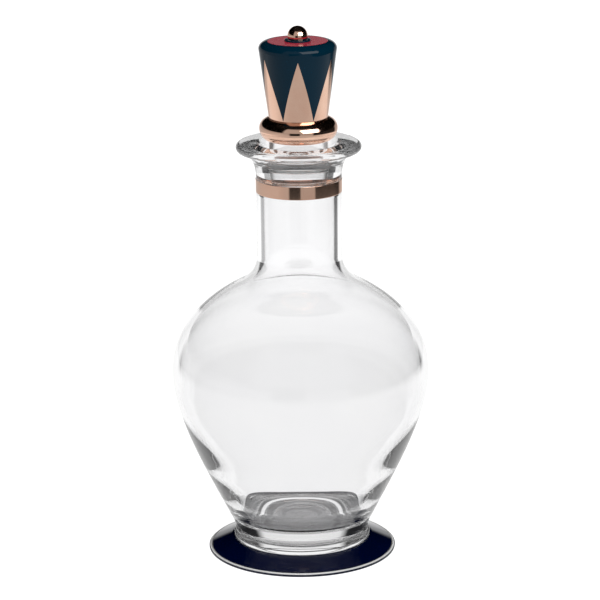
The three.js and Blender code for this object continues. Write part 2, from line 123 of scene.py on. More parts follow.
def add_node(tree: bpy.types.NodeTree, kind: str, settings: dict | None = None,
             inputs: dict | None = None) -> bpy.types.Node:
    """Adds a node with its settings and its links.

    Args:
        tree: Tree to add to.
        kind: Blender's name of the node's type.
        settings: Properties of the node.
        inputs: Input sockets by name or place. A socket as value is linked, anything else is set.

    Returns:
        The new node.
    """
    node = tree.nodes.new(kind)
    for name, value in (settings or {}).items():
        setattr(node, name, value)
    for name, value in (inputs or {}).items():
        if isinstance(value, bpy.types.NodeSocket):
            tree.links.new(value, node.inputs[name])
        else:
            node.inputs[name].default_value = value
    return node


@dataclass
class Outline:
    """Half-section of a turned piece, drawn point by point.

    Each point is a radius, a height and, at a corner to be rounded, the length that the rounding takes.
    """

    # Largest shares of a side that a rounding and the flat's holding point beside it take
    MOST_ROUNDING = 0.4
    MOST_HOLD = 0.05
    # Distance of the holding point, as a share of the rounding
    HOLD = 0.3
    # Points nearer than this, in millimetres, count as one
    SAME_PLACE = 1e-3
    # Share of a quarter round's run that each of its ends pulls along
    QUARTER = 0.55

    points: list[tuple[float, ...]] = field(default_factory=list)

    def to(self, radius: float, height: float, rounding: float = 0.0) -> "Outline":
        """Draws a straight line, and rounds the corner that it ends in once the next line is drawn.

        Args:
            radius: Radius of the end.
            height: Height of the end.
            rounding: Length that the rounding takes from both lines at this end.

        Returns:
            This outline.
        """
        self.points.append((radius, height, rounding) if rounding else (radius, height))
        return self

    def bend(self, first: Point, second: Point, end: Point, steps: int) -> "Outline":
        """Draws a cubic curve from the last point.

        Args:
            first: Point that the curve leaves towards.
            second: Point that the curve arrives from.
            end: End of the curve.
            steps: Straight steps along the curve.

        Returns:
            This outline.
        """
        start = self.points[-1]
        for i in range(1, steps + 1):
            t = i / steps
            weights = ((1 - t) ** 3, 3 * t * (1 - t) ** 2, 3 * t * t * (1 - t), t ** 3)
            corners = (start, first, second, end)
            self.points.append(tuple(sum(w * c[k] for w, c in zip(weights, corners)) for k in (0, 1)))
        return self

    def quarter(self, radius: float, height: float, leave: Leave, steps: int = 10) -> "Outline":
        """Draws a quarter round from the last point.

        Args:
            radius: Radius of the end.
            height: Height of the end.
            leave: Whether the round starts level or upright.
            steps: Straight steps along it.

        Returns:
            This outline.
        """
        start = self.points[-1]
        across = (radius - start[0]) * self.QUARTER
        up = (height - start[1]) * self.QUARTER
        if leave is Leave.LEVEL:
            return self.bend((start[0] + across, start[1]), (radius, height - up), (radius, height), steps)
        return self.bend((start[0], start[1] + up), (radius - across, height), (radius, height), steps)

    def sampled(self, closed: bool, steps: int = 5) -> list[Point]:
        """Gives the outline's points, with rounded corners and points beside them that hold the flats flat.

        Args:
            closed: Whether the last point joins the first.
            steps: Straight steps along a rounded corner.

        Returns:
            Points of radius and height.
        """
        made: list[Point] = []
        count = len(self.points)
        for i, point in enumerate(self.points):
            corner = Vector(point[:2])
            inner = closed or 0 < i < count - 1
            if len(point) == 2 or not inner:
                made.append((corner.x, corner.y))
                continue
            sides = [Vector(self.points[(i + k) % count][:2]) - corner for k in (-1, 1)]
            ends = [corner + s.normalized() * min(point[2], s.length * self.MOST_ROUNDING) for s in sides]
            holds = [end + s.normalized() * min(point[2] * self.HOLD, s.length * self.MOST_HOLD)
                     for end, s in zip(ends, sides)]
            made.append(tuple(holds[0]))
            for k in range(steps + 1):
                t = k / steps
                made.append(tuple(ends[0] * (1 - t) ** 2 + corner * (2 * t * (1 - t)) + ends[1] * t * t))
            made.append(tuple(holds[1]))
        return [p for i, p in enumerate(made)
                if i == 0 or (Vector(p) - Vector(made[i - 1])).length > self.SAME_PLACE]


class NodeShaper:
    """Geometry Nodes trees that turn a half-section and repeat a sector round the Z axis."""

    # Radius of the circle that a half-section is swept round. The section is set back by as much.
    SWEEP_RADIUS = 0.1
    # Distance, in metres, under which points are merged
    MERGE = 1e-6
    # Edges that turn by more than this stay sharp
    SHARP = math.radians(38)

    def __init__(self) -> None:
        """Builds both trees once."""
        self.lathe = self._lathe_tree()
        self.ring = self._ring_tree()

    def _start(self, name: str, count: str) -> tuple[bpy.types.NodeTree, bpy.types.Node]:
        """Makes a tree with a geometry, a count and a material as inputs.

        Args:
            name: Name of the tree.
            count: Name of its whole-number input.

        Returns:
            The tree and its input node.
        """
        tree = bpy.data.node_groups.new(name, "GeometryNodeTree")
        tree.interface.new_socket("Geometry", in_out="INPUT", socket_type="NodeSocketGeometry")
        tree.interface.new_socket(count, in_out="INPUT", socket_type="NodeSocketInt")
        tree.interface.new_socket("Material", in_out="INPUT", socket_type="NodeSocketMaterial")
        tree.interface.new_socket("Geometry", in_out="OUTPUT", socket_type="NodeSocketGeometry")
        return tree, add_node(tree, "NodeGroupInput")

    def _end(self, tree: bpy.types.NodeTree, entry: bpy.types.Node, shape: bpy.types.NodeSocket) -> None:
        """Merges, smooths all but sharp edges, realizes and dresses the shape.

        Args:
            tree: Tree to end.
            entry: Its input node.
            shape: Geometry so far.
        """
        real = add_node(tree, "GeometryNodeRealizeInstances", inputs={0: shape})
        merged = add_node(tree, "GeometryNodeMergeByDistance",
                          inputs={0: real.outputs[0], "Distance": self.MERGE})
        angle = add_node(tree, "GeometryNodeInputMeshEdgeAngle")
        sharp = add_node(tree, "FunctionNodeCompare", {"operation": "GREATER_THAN"},
                         {0: angle.outputs["Unsigned Angle"], 1: self.SHARP})
        smooth = add_node(tree, "GeometryNodeSetShadeSmooth", inputs={0: merged.outputs[0]})
        edged = add_node(tree, "GeometryNodeSetShadeSmooth", {"domain": "EDGE"},
                         {0: smooth.outputs[0], "Selection": sharp.outputs[0], "Shade Smooth": False})
        dressed = add_node(tree, "GeometryNodeSetMaterial",
                           inputs={0: edged.outputs[0], "Material": entry.outputs["Material"]})
        add_node(tree, "NodeGroupOutput", inputs={0: dressed.outputs[0]})

    def _lathe_tree(self) -> bpy.types.NodeTree:
        """Sweeps a half-section round a circle."""
        tree, entry = self._start("turn_on_lathe", "Turn Steps")
        section = add_node(tree, "GeometryNodeMeshToCurve", inputs={0: entry.outputs["Geometry"]})
        circle = add_node(tree, "GeometryNodeCurvePrimitiveCircle", {"mode": "RADIUS"},
                          {"Resolution": entry.outputs["Turn Steps"], "Radius": self.SWEEP_RADIUS})
        swept = add_node(tree, "GeometryNodeCurveToMesh",
                         inputs={"Curve": circle.outputs[0], "Profile Curve": section.outputs[0]})
        self._end(tree, entry, swept.outputs[0])
        return tree

    def _ring_tree(self) -> bpy.types.NodeTree:
        """Sets copies of one sector round the Z axis."""
        tree, entry = self._start("repeat_round_axis", "Copies")
        points = add_node(tree, "GeometryNodePoints", inputs={"Count": entry.outputs["Copies"]})
        index = add_node(tree, "GeometryNodeInputIndex")
        step = add_node(tree, "ShaderNodeMath", {"operation": "DIVIDE"},
                        {0: math.tau, 1: entry.outputs["Copies"]})
        turn = add_node(tree, "ShaderNodeMath", {"operation": "MULTIPLY"},
                        {0: index.outputs[0], 1: step.outputs[0]})
        spin = add_node(tree, "ShaderNodeCombineXYZ", inputs={"Z": turn.outputs[0]})
        copies = add_node(tree, "GeometryNodeInstanceOnPoints",
                          inputs={"Points": points.outputs[0], "Instance": entry.outputs["Geometry"],
                                  "Rotation": spin.outputs[0]})
        self._end(tree, entry, copies.outputs[0])
        return tree

    def _shaped(self, name: str, start: bpy.types.Mesh, tree: bpy.types.NodeTree, count: int,
                material: bpy.types.Material) -> bpy.types.Object:
        """Runs a tree on a mesh and keeps the result as a plain mesh that faces out.

        Args:
            name: Name of the piece.
            start: Mesh that the tree works on.
            tree: Geometry Nodes tree.
            count: Its whole-number input.
            material: Material of the piece.

        Returns:
            The finished object, at the origin.
        """
        holder = bpy.data.objects.new(name + "_start", start)
        bpy.context.scene.collection.objects.link(holder)
        modifier = holder.modifiers.new("shape", "NODES")
        modifier.node_group = tree
        inputs = [s for s in tree.interface.items_tree if s.in_out == "INPUT"]
        modifier[inputs[1].identifier] = count
        modifier[inputs[2].identifier] = material
        graph = bpy.context.evaluated_depsgraph_get()
        made = bpy.data.meshes.new_from_object(holder.evaluated_get(graph))
        made.name = name
        holder.modifiers.remove(modifier)
        bpy.data.objects.remove(holder)
        work = bmesh.new()
        work.from_mesh(made)
        if work.calc_volume(signed=True) < 0:
            bmesh.ops.reverse_faces(work, faces=work.faces)
        work.to_mesh(made)
        work.free()
        piece = bpy.data.objects.new(name, made)
        bpy.context.scene.collection.objects.link(piece)
        return piece

    def turn(self, name: str, outline: Outline, material: bpy.types.Material, closed: bool = False,
             steps: int = 192) -> bpy.types.Object:
        """Turns a half-section about the Z axis.

        Args:
            name: Name of the piece.
            outline: Half-section. One that isn't closed starts and ends on the axis.
            material: Material of the piece.
            closed: Whether the outline joins up, as a ring's does.
            steps: Steps round the axis.

        Returns:
            The turned piece.
        """
        points = outline.sampled(closed)
        edges = [(i, i + 1) for i in range(len(points) - 1)]
        if closed:
            edges.append((len(points) - 1, 0))
        section = bpy.data.meshes.new(name + "_section")
        section.from_pydata([(r * MM - self.SWEEP_RADIUS, -z * MM, 0) for r, z in points], edges, [])
        return self._shaped(name, section, self.lathe, steps, material)

    def repeat(self, name: str, sector: bpy.types.Mesh, copies: int,
               material: bpy.types.Material) -> bpy.types.Object:
        """Sets copies of a sector round the Z axis and joins them.

        Args:
            name: Name of the piece.
            sector: One sector, in metres.
            copies: How many make a full turn.
            material: Material of the piece.

        Returns:
            The joined piece.
        """
        return self._shaped(name, sector, self.ring, copies, material)


@dataclass(frozen=True)
class Finish:
    """What every finish shares: a name, a base colour and typical values of its real material."""

    name: str
    base: str
    roughness: float
    metallic: float = 0.0
    ior: float = 1.5

    def start(self) -> tuple[bpy.types.Material, bpy.types.NodeTree, bpy.types.Node, bpy.types.NodeSocket]:
        """Makes the material with its shader, output and object coordinates.

        Returns:
            The material, its tree, the shader and the object coordinates.
        """
        material = bpy.data.materials.new(self.name)
        material.use_nodes = True
        tree = material.node_tree
        tree.nodes.clear()
        shader = add_node(tree, "ShaderNodeBsdfPrincipled",
                          inputs={"Base Color": linear(self.base), "Roughness": self.roughness,
                                  "Metallic": self.metallic})
        if not self.metallic:
            shader.inputs["IOR"].default_value = self.ior
        add_node(tree, "ShaderNodeOutputMaterial", inputs={"Surface": shader.outputs[0]})
        place = add_node(tree, "ShaderNodeTexCoord")
        return material, tree, shader, place.outputs["Object"]

    def vary(self, tree: bpy.types.NodeTree, shader: bpy.types.Node, pattern: bpy.types.NodeSocket,
             other: str, rougher: float) -> None:
        """Lets a pattern shift the colour and the roughness.

        Args:
            tree: Tree of the material.
            shader: Its shader.
            pattern: Pattern from 0 to 1.
            other: Colour where the pattern is 1.
            rougher: Roughness where the pattern is 1.
        """
        colour = add_node(tree, "ShaderNodeMix", {"data_type": "RGBA"},
                          {"Factor": pattern, 6: linear(self.base), 7: linear(other)})
        rough = add_node(tree, "ShaderNodeMapRange",
                         inputs={"Value": pattern, "To Min": self.roughness, "To Max": rougher})
        tree.links.new(colour.outputs[2], shader.inputs["Base Color"])
        tree.links.new(rough.outputs[0], shader.inputs["Roughness"])

    def bump(self, tree: bpy.types.NodeTree, shader: bpy.types.Node, pattern: bpy.types.NodeSocket,
             depth_mm: float) -> None:
        """Lets a pattern raise the surface.

        Args:
            tree: Tree of the material.
            shader: Its shader.
            pattern: Pattern from 0 to 1.
            depth_mm: Height of the pattern in millimetres.
        """
        raised = add_node(tree, "ShaderNodeBump",
                          inputs={"Strength": 1.0, "Distance": depth_mm * MM, "Height": pattern})
        tree.links.new(raised.outputs[0], shader.inputs["Normal"])


def noise(tree: bpy.types.NodeTree, place: bpy.types.NodeSocket, size_mm: float,
          detail: float = 2.0) -> bpy.types.NodeSocket:
    """Adds a soft random pattern of a real size.

    Args:
        tree: Tree to add to.
        place: Coordinates in metres.
        size_mm: Size of its patches.
        detail: Finer layers on top.

    Returns:
        Pattern from 0 to 1.
    """
    made = add_node(tree, "ShaderNodeTexNoise",
                    inputs={"Vector": place, "Scale": 1 / (size_mm * MM), "Detail": detail})
    return made.outputs[0]


def lathe_lines(tree: bpy.types.NodeTree, place: bpy.types.NodeSocket,
                spacing_mm: float) -> bpy.types.NodeSocket:
    """Adds fine lines round the Z axis, as turning and buffing leave them.

    Args:
        tree: Tree to add to.
        place: Coordinates in metres.
        spacing_mm: Distance between lines along the axis.

    Returns:
        Pattern from 0 to 1.
    """
    split = add_node(tree, "ShaderNodeSeparateXYZ", inputs={0: place})
    flat = add_node(tree, "ShaderNodeCombineXYZ", inputs={"X": split.outputs["X"], "Y": split.outputs["Y"]})
    radius = add_node(tree, "ShaderNodeVectorMath", {"operation": "LENGTH"}, {0: flat.outputs[0]})
    along = add_node(tree, "ShaderNodeMath", {"operation": "ADD"},
                     {0: split.outputs["Z"], 1: radius.outputs["Value"]})
    line = add_node(tree, "ShaderNodeCombineXYZ", inputs={"Z": along.outputs[0]})
    return noise(tree, line.outputs[0], spacing_mm, 3.0)


@dataclass(frozen=True)
class BlownCrystal(Finish):
    """Blown crystal, fire polished: clear and hard-edged, with the faintest wave of the blower's work."""

    other: str = "FCFCFD"
    wave_mm: float = 26.0
    wave_depth_mm: float = 0.02

    def material(self) -> bpy.types.Material:
        """Builds the material."""
        material, tree, shader, place = self.start()
        shader.inputs["Transmission Weight"].default_value = 1.0
        wave = noise(tree, place, self.wave_mm, 1.0)
        colour = add_node(tree, "ShaderNodeMix", {"data_type": "RGBA"},
                          {"Factor": wave, 6: linear(self.base), 7: linear(self.other)})
        tree.links.new(colour.outputs[2], shader.inputs["Base Color"])
        self.bump(tree, shader, wave, self.wave_depth_mm)
        return material


@dataclass(frozen=True)
class PolishedMetal(Finish):
    """Plated metal, buffed on the lathe: reflections drawn out a little along the buffing lines."""

    other: str = "E8B8A0"
    line_mm: float = 0.5
    patch_mm: float = 9.0
    rougher: float = 0.12
    line_depth_mm: float = 0.0006

    def material(self) -> bpy.types.Material:
        """Builds the material."""
        material, tree, shader, place = self.start()
        lines = lathe_lines(tree, place, self.line_mm)
        patches = noise(tree, place, self.patch_mm, 3.0)
        self.vary(tree, shader, patches, self.other, self.rougher)
        self.bump(tree, shader, lines, self.line_depth_mm)
        return material


@dataclass(frozen=True)
class FiredEnamel(Finish):
    """Enamel fired on metal, or opaque glass: deep colour under a glassy skin with a soft orange peel."""

    other: str = "0B2434"
    peel_mm: float = 2.2
    peel_depth_mm: float = 0.004
    patch_mm: float = 12.0
    rougher: float = 0.1
    skin: float = 0.5

    def material(self) -> bpy.types.Material:
        """Builds the material."""
        material, tree, shader, place = self.start()
        shader.inputs["Specular IOR Level"].default_value = self.skin
        self.vary(tree, shader, noise(tree, place, self.patch_mm, 2.0), self.other, self.rougher)
        self.bump(tree, shader, noise(tree, place, self.peel_mm, 1.0), self.peel_depth_mm)
        return material


@dataclass(frozen=True)
class PlainStuff(Finish):
    """Silicone, cement and turned steel: hidden pieces, with a grain of their own."""

    other: str = "808080"
    grain_mm: float = 0.8
    grain_depth_mm: float = 0.02
    rougher: float = 0.8
    clear: float = 0.0

    def material(self) -> bpy.types.Material:
        """Builds the material."""
        material, tree, shader, place = self.start()
        shader.inputs["Transmission Weight"].default_value = self.clear
        grain = noise(tree, place, self.grain_mm, 4.0)
        self.vary(tree, shader, grain, self.other, self.rougher)
        self.bump(tree, shader, grain, self.grain_depth_mm)
        return material


# Clear crystal: only its edges and what it bends show.
CRYSTAL = BlownCrystal("blown_crystal", "FFFFFF", 0.0, ior=1.53)
# Glass of one deep colour: near black with a hard gloss, blue where light falls on it.
NAVY_GLASS = FiredEnamel("cased_navy_glass", "000525", 0.03, ior=1.52, other="00041C", peel_mm=18.0,
                         peel_depth_mm=0.01, rougher=0.06)
# Satin silver plate: a white line from every side, because it scatters light as well as mirroring it.
SILVER = PolishedMetal("silver_plate", "F4F4F2", 0.25, metallic=0.4, other="E6E6E4", line_mm=0.4,
                       rougher=0.32)
# Copper plate buffed to a mirror: warm, with sharp reflections of the room.
COPPER = PolishedMetal("copper_plated_brass", "F6D2BB", 0.05, metallic=1.0)
# Dark enamel: blue-black and deep, with a weak gloss.
DARK_ENAMEL = FiredEnamel("blue_black_enamel", "001521", 0.04, ior=1.55, other="021824", skin=0.14)
# Red enamel: an even colour with a satin gloss.
RED_ENAMEL = FiredEnamel("red_enamel", "9A2436", 0.16, ior=1.55, other="8C2133", rougher=0.26, skin=0.3)
# Clear silicone: a faint milky ring in the plug's groove.
SILICONE = PlainStuff("clear_silicone", "EEF1F1", 0.25, ior=1.41, other="E4E9E9", rougher=0.35, clear=0.85)
# Cast cement: dull, pale and grainy.
CEMENT = PlainStuff("bonding_cement", "D8D2C4", 0.75, other="C9C1B0")
# Turned steel: grey, with soft highlights.
STEEL = PlainStuff("turned_steel", "A9ACB0", 0.3, metallic=1.0, other="8F9296", grain_depth_mm=0.004,
                   rougher=0.4)


@functools.cache
def dressed(finish: Finish) -> bpy.types.Material:
    """Gives a finish's material, which all its pieces share."""
    return finish.material()


def settle(piece: bpy.types.Object, body: Body, slot: str, *nodes: str) -> None:
    """Rides a piece on its body in place of its solids.

    Args:
        piece: Finished piece.
        body: Body that it moves with.
        slot: The record's material slot; not used.
        nodes: Solids that it stands for.
    """
    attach(piece, body.value)
    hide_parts(*nodes)
    LOG.info("%s: %d faces, in place of %s", piece.name, len(piece.data.polygons), ", ".join(nodes))


@dataclass
class Foot:
    """Dark disc foot, its bright line and the clear stepped disc on it. Sizes in millimetres."""

    edge_height: float = 1.2
    edge_chamfer: float = 0.4
    seat_margin: float = 0.7
    rest_width: float = 8.0
    recess: float = 1.6
    rim_inset: float = 0.35
    rim_width: float = 1.1
    rim_height: float = 1.0
    groove_depth: float = 0.5
    groove_fit: float = 0.06
    step: float = 0.8
    step_height: float = 2.0
    film: float = 0.06
    # Lengths that the corners' roundings take
    recess_round: float = 0.8
    rest_round: float = 0.3
    chamfer_round: float = 0.2
    edge_round: float = 0.15
    groove_round: float = 0.08
    bank_round: float = 0.12
    seat_round: float = 0.5

    def disc(self) -> Outline:
        """Half-section of the foot, with the groove for its bright line."""
        radius = reach("foot_disc")
        top = high("foot_disc")
        seat = reach("base_disc") + self.seat_margin
        outer = radius - self.rim_inset
        inner = outer - self.rim_width - 2 * self.groove_fit
        floor = self.edge_height - self.groove_depth
        slope = (top - self.edge_height) / (radius - seat)
        rest = radius - self.edge_chamfer - self.rest_width
        return (Outline().to(0, self.recess).to(rest - self.recess, self.recess, self.recess_round)
                .to(rest, 0, self.rest_round).to(radius - self.edge_chamfer, 0, self.chamfer_round)
                .to(radius, self.edge_chamfer, self.chamfer_round)
                .to(radius, self.edge_height, self.edge_round)
                .to(outer, self.edge_height, self.groove_round).to(outer, floor).to(inner, floor)
                .to(inner, self.edge_height + slope * (radius - inner), self.bank_round)
                .to(seat, top, self.seat_round).to(0, top))

    def rim(self) -> Outline:
        """Half-section of the bright line: a bead with a round top."""
        outer = reach("foot_disc") - self.rim_inset - self.groove_fit
        inner = outer - self.rim_width
        middle = (outer + inner) / 2
        floor = self.edge_height - self.groove_depth + self.groove_fit
        side = floor + self.rim_height - self.rim_width / 2
        return (Outline().to(inner, floor).to(outer, floor).to(outer, side)
                .quarter(middle, floor + self.rim_height, Leave.UPRIGHT)
                .quarter(inner, side, Leave.LEVEL))

    def button(self) -> Outline:
        """Half-section of the clear stepped disc, a film of air above the foot."""
        radius = reach("base_disc")
        under = low("base_disc") + self.film
        top = high("base_disc") - self.film
        upper = radius - self.step
        edge = self.step / 2
        step = low("base_disc") + self.step_height
        return (Outline().to(0, under).to(radius, under, edge).to(radius, step - edge)
                .quarter(upper, step, Leave.UPRIGHT).to(upper, top, edge).to(0, top))

    def build(self, shaper: NodeShaper) -> None:
        """Makes the foot's pieces.

        Args:
            shaper: Trees that turn the half-sections.
        """
        settle(shaper.turn("foot", self.disc(), dressed(NAVY_GLASS)), Body.VESSEL, "navy_glass", "foot_disc")
        settle(shaper.turn("foot_line", self.rim(), dressed(SILVER), closed=True), Body.VESSEL, "bright_rim",
               "foot_rim_ring")
        settle(shaper.turn("base_button", self.button(), dressed(CRYSTAL)), Body.VESSEL, "clear_glass",
               "base_disc")


@dataclass
class Vessel:
    """Blown vessel and the copper band round its neck. Sizes in millimetres."""

    base_radius: float = 31.9
    base_edge: float = 0.6
    base_slope: float = 65.0
    bulb_height: float = 80.2
    shoulder_radius: float = 30.2
    shoulder_rise: float = 44.1
    shoulder_slope: float = 28.3
    neck_radius: float = 20.7
    neck_root_rise: float = 13.5
    lip_radius: float = 30.2
    lip_thickness: float = 4.2
    fillet_height: float = 11.9
    fillet_reach: float = 2.6
    mouth_radius: float = 20.4
    mouth_depth: float = 7.6
    ground_radius: float = 14.5
    ground_taper: float = 1.1
    ground_length: float = 11.0
    flare_length: float = 7.0
    neck_wall: float = 3.8
    shoulder_wall: float = 2.6
    bulb_wall: float = 3.8
    # Walls of the lower body, and the shares along its outside curve where they lie
    lower_wall: float = 4.8
    lower_share: float = 0.43
    middle_wall: float = 5.8
    middle_share: float = 0.24
    corner_wall: float = 6.2
    corner_share: float = 0.13
    floor_radius: float = 16.0
    floor_height: float = 6.5
    punt_radius: float = 25.0
    punt_height: float = 3.0
    # Shares of a curve's run that its ends pull along
    body_fullness: float = 0.3
    dome_fullness: float = 0.52
    wall_fullness: float = 0.47
    lean_fullness: float = 0.33
    round_fullness: float = 0.55
    band_edge: float = 0.15
    band_thickness: float = 0.5
    band_fit: float = 0.05
    # Straight steps round the axis and along the curves
    turn_steps: int = 240
    edge_steps: int = 4
    body_steps: int = 48
    dome_steps: int = 40
    neck_steps: int = 20
    mouth_steps: int = 16
    flare_steps: int = 14
    wall_steps: int = 24
    floor_steps: int = 32
    punt_steps: int = 20

    def __post_init__(self) -> None:
        """Takes the heights from the solid."""
        self.under_z, self.top_z = low("glass_vessel"), high("glass_vessel")
        self.bulb_z = self.under_z + self.bulb_height
        self.shoulder_z = self.bulb_z + self.shoulder_rise
        self.root_z = self.shoulder_z + self.neck_root_rise
        self.fall = math.radians(self.shoulder_slope)

    def body_curve(self) -> tuple[Point, Point, Point, Point]:
        """Corners of the cubic curve of the lower body's outside, from its base to its widest place."""
        radius = reach("glass_vessel")
        rise = math.radians(self.base_slope)
        pull = self.bulb_height * self.body_fullness
        base = (self.base_radius, self.under_z + self.base_edge)
        return (base, (base[0] + pull * math.cos(rise), base[1] + pull * math.sin(rise)),
                (radius, self.bulb_z - pull), (radius, self.bulb_z))

    def wall_place(self, share: float, wall: float) -> tuple[Vector, Vector]:
        """Finds a place on the inside of the lower wall.

        Args:
            share: Its share along the outside curve.
            wall: Thickness of the wall there, measured level.

        Returns:
            The place, and the way that the wall leans there.
        """
        a, b, c, d = (Vector(corner) for corner in self.body_curve())
        rest = 1 - share
        place = a * rest ** 3 + b * 3 * share * rest ** 2 + c * 3 * share ** 2 * rest + d * share ** 3
        lean = (b - a) * rest ** 2 + (c - b) * 2 * share * rest + (d - c) * share ** 2
        return place - Vector((wall, 0)), lean.normalized()

    def outside(self, outline: Outline) -> Outline:
        """Draws the outside from the bottom edge to the top of the lip.

        Args:
            outline: Outline that has the underside.

        Returns:
            The same outline.
        """
        bulb_radius = reach("glass_vessel")
        along, down = math.cos(self.fall), math.sin(self.fall)
        dome = (bulb_radius - self.shoulder_radius) * self.dome_fullness
        neck = (self.shoulder_radius - self.neck_radius) * self.dome_fullness
        base, first, second, widest = self.body_curve()
        half = self.lip_thickness / 2
        lip_under = self.top_z - self.lip_thickness
        outline.to(self.base_radius - self.base_edge, self.under_z)
        outline.quarter(*base, Leave.LEVEL, self.edge_steps)
        outline.bend(first, second, widest, self.body_steps)
        outline.bend((bulb_radius, self.bulb_z + self.shoulder_rise * self.dome_fullness),
                     (self.shoulder_radius + dome * along, self.shoulder_z - dome * down),
                     (self.shoulder_radius, self.shoulder_z), self.dome_steps)
        outline.bend((self.shoulder_radius - neck * along, self.shoulder_z + neck * down),
                     (self.neck_radius, self.root_z - self.neck_root_rise * self.dome_fullness),
                     (self.neck_radius, self.root_z), self.neck_steps)
        seat = reach("neck_band") - self.band_thickness - self.band_fit
        groove, groove_end = low("neck_band") - self.band_fit, high("neck_band") + self.band_fit
        outline.to(self.neck_radius, groove).to(seat, groove).to(seat, groove_end)
        outline.to(self.neck_radius, groove_end).to(self.neck_radius, lip_under - self.fillet_height)
        outline.bend((self.neck_radius, lip_under - self.fillet_height * self.round_fullness),
                     (self.neck_radius + self.fillet_reach, lip_under),
                     (self.lip_radius - half, lip_under), self.neck_steps)
        outline.quarter(self.lip_radius, self.top_z - half, Leave.LEVEL)
        return outline.quarter(self.lip_radius - half, self.top_z, Leave.UPRIGHT)

    def inside(self, outline: Outline) -> Outline:
        """Draws the inside from the mouth to the middle of the floor.

        Args:
            outline: Outline that has the outside.

        Returns:
            The same outline.
        """
        along, down = math.cos(self.fall), math.sin(self.fall)
        bore = self.neck_radius - self.neck_wall
        ground = self.top_z - self.mouth_depth
        ground_end = ground - self.ground_length
        narrow = self.ground_radius - self.ground_taper
        flare_end = ground_end - self.flare_length
        flare = (ground_end + flare_end) / 2
        turn = (self.shoulder_radius - self.shoulder_wall * down,
                self.shoulder_z - self.shoulder_wall * along)
        wide = reach("glass_vessel") - self.bulb_wall
        floor = self.under_z + self.floor_height
        walls = [self.wall_place(share, wall) for share, wall in (
            (self.lower_share, self.lower_wall), (self.middle_share, self.middle_wall),
            (self.corner_share, self.corner_wall))]
        (lower, lower_lean), (corner, corner_lean) = walls[0], walls[-1]
        dome = (wide - turn[0]) * self.dome_fullness
        neck = (turn[0] - bore) * self.dome_fullness
        outline.to(self.mouth_radius, self.top_z)
        outline.quarter(self.ground_radius, ground, Leave.LEVEL, self.mouth_steps)
        outline.to(narrow, ground_end)
        outline.bend((narrow, flare), (bore, flare), (bore, flare_end), self.flare_steps)
        outline.to(bore, self.root_z)
        outline.bend((bore, self.root_z - self.neck_root_rise * self.dome_fullness),
                     (turn[0] - neck * along, turn[1] + neck * down), turn, self.neck_steps)
        outline.bend((turn[0] + dome * along, turn[1] - dome * down),
                     (wide, self.bulb_z + (turn[1] - self.bulb_z) * self.dome_fullness),
                     (wide, self.bulb_z), self.dome_steps)
        drop = self.bulb_z - lower.y
        outline.bend((wide, self.bulb_z - drop * self.wall_fullness),
                     tuple(lower + lower_lean * drop * self.lean_fullness), tuple(lower), self.dome_steps)
        for (upper, upper_lean), (below, below_lean) in zip(walls, walls[1:]):
            lean = (upper.y - below.y) * self.lean_fullness
            outline.bend(tuple(upper - upper_lean * lean), tuple(below + below_lean * lean), tuple(below),
                         self.wall_steps)
        outline.bend(tuple(corner - corner_lean * (corner.y - floor) * self.round_fullness),
                     (self.floor_radius + (corner.x - self.floor_radius) * self.round_fullness, floor),
                     (self.floor_radius, floor), self.floor_steps)
        return outline.to(0, floor)

    def section(self) -> Outline:
        """Whole half-section of the vessel, from the punt round to the floor."""
        outline = Outline().to(0, self.under_z + self.punt_height)
        outline.quarter(self.punt_radius, self.under_z, Leave.LEVEL, self.punt_steps)
        return self.inside(self.outside(outline))

    def band(self) -> Outline:
        """Half-section of the copper band."""
        outer = reach("neck_band")
        inner = outer - self.band_thickness
        under, top = low("neck_band"), high("neck_band")
        return (Outline().to(inner, under).to(outer, under, self.band_edge).to(outer, top, self.band_edge)
                .to(inner, top))

    def build(self, shaper: NodeShaper) -> None:
        """Makes the vessel's pieces.

        Args:
            shaper: Trees that turn the half-sections.
        """
        settle(shaper.turn("vessel_glass", self.section(), dressed(CRYSTAL), steps=self.turn_steps),
               Body.VESSEL, "clear_glass", "glass_vessel")
        settle(shaper.turn("copper_band", self.band(), dressed(COPPER), closed=True), Body.VESSEL,
               "copper_plate", "neck_band")


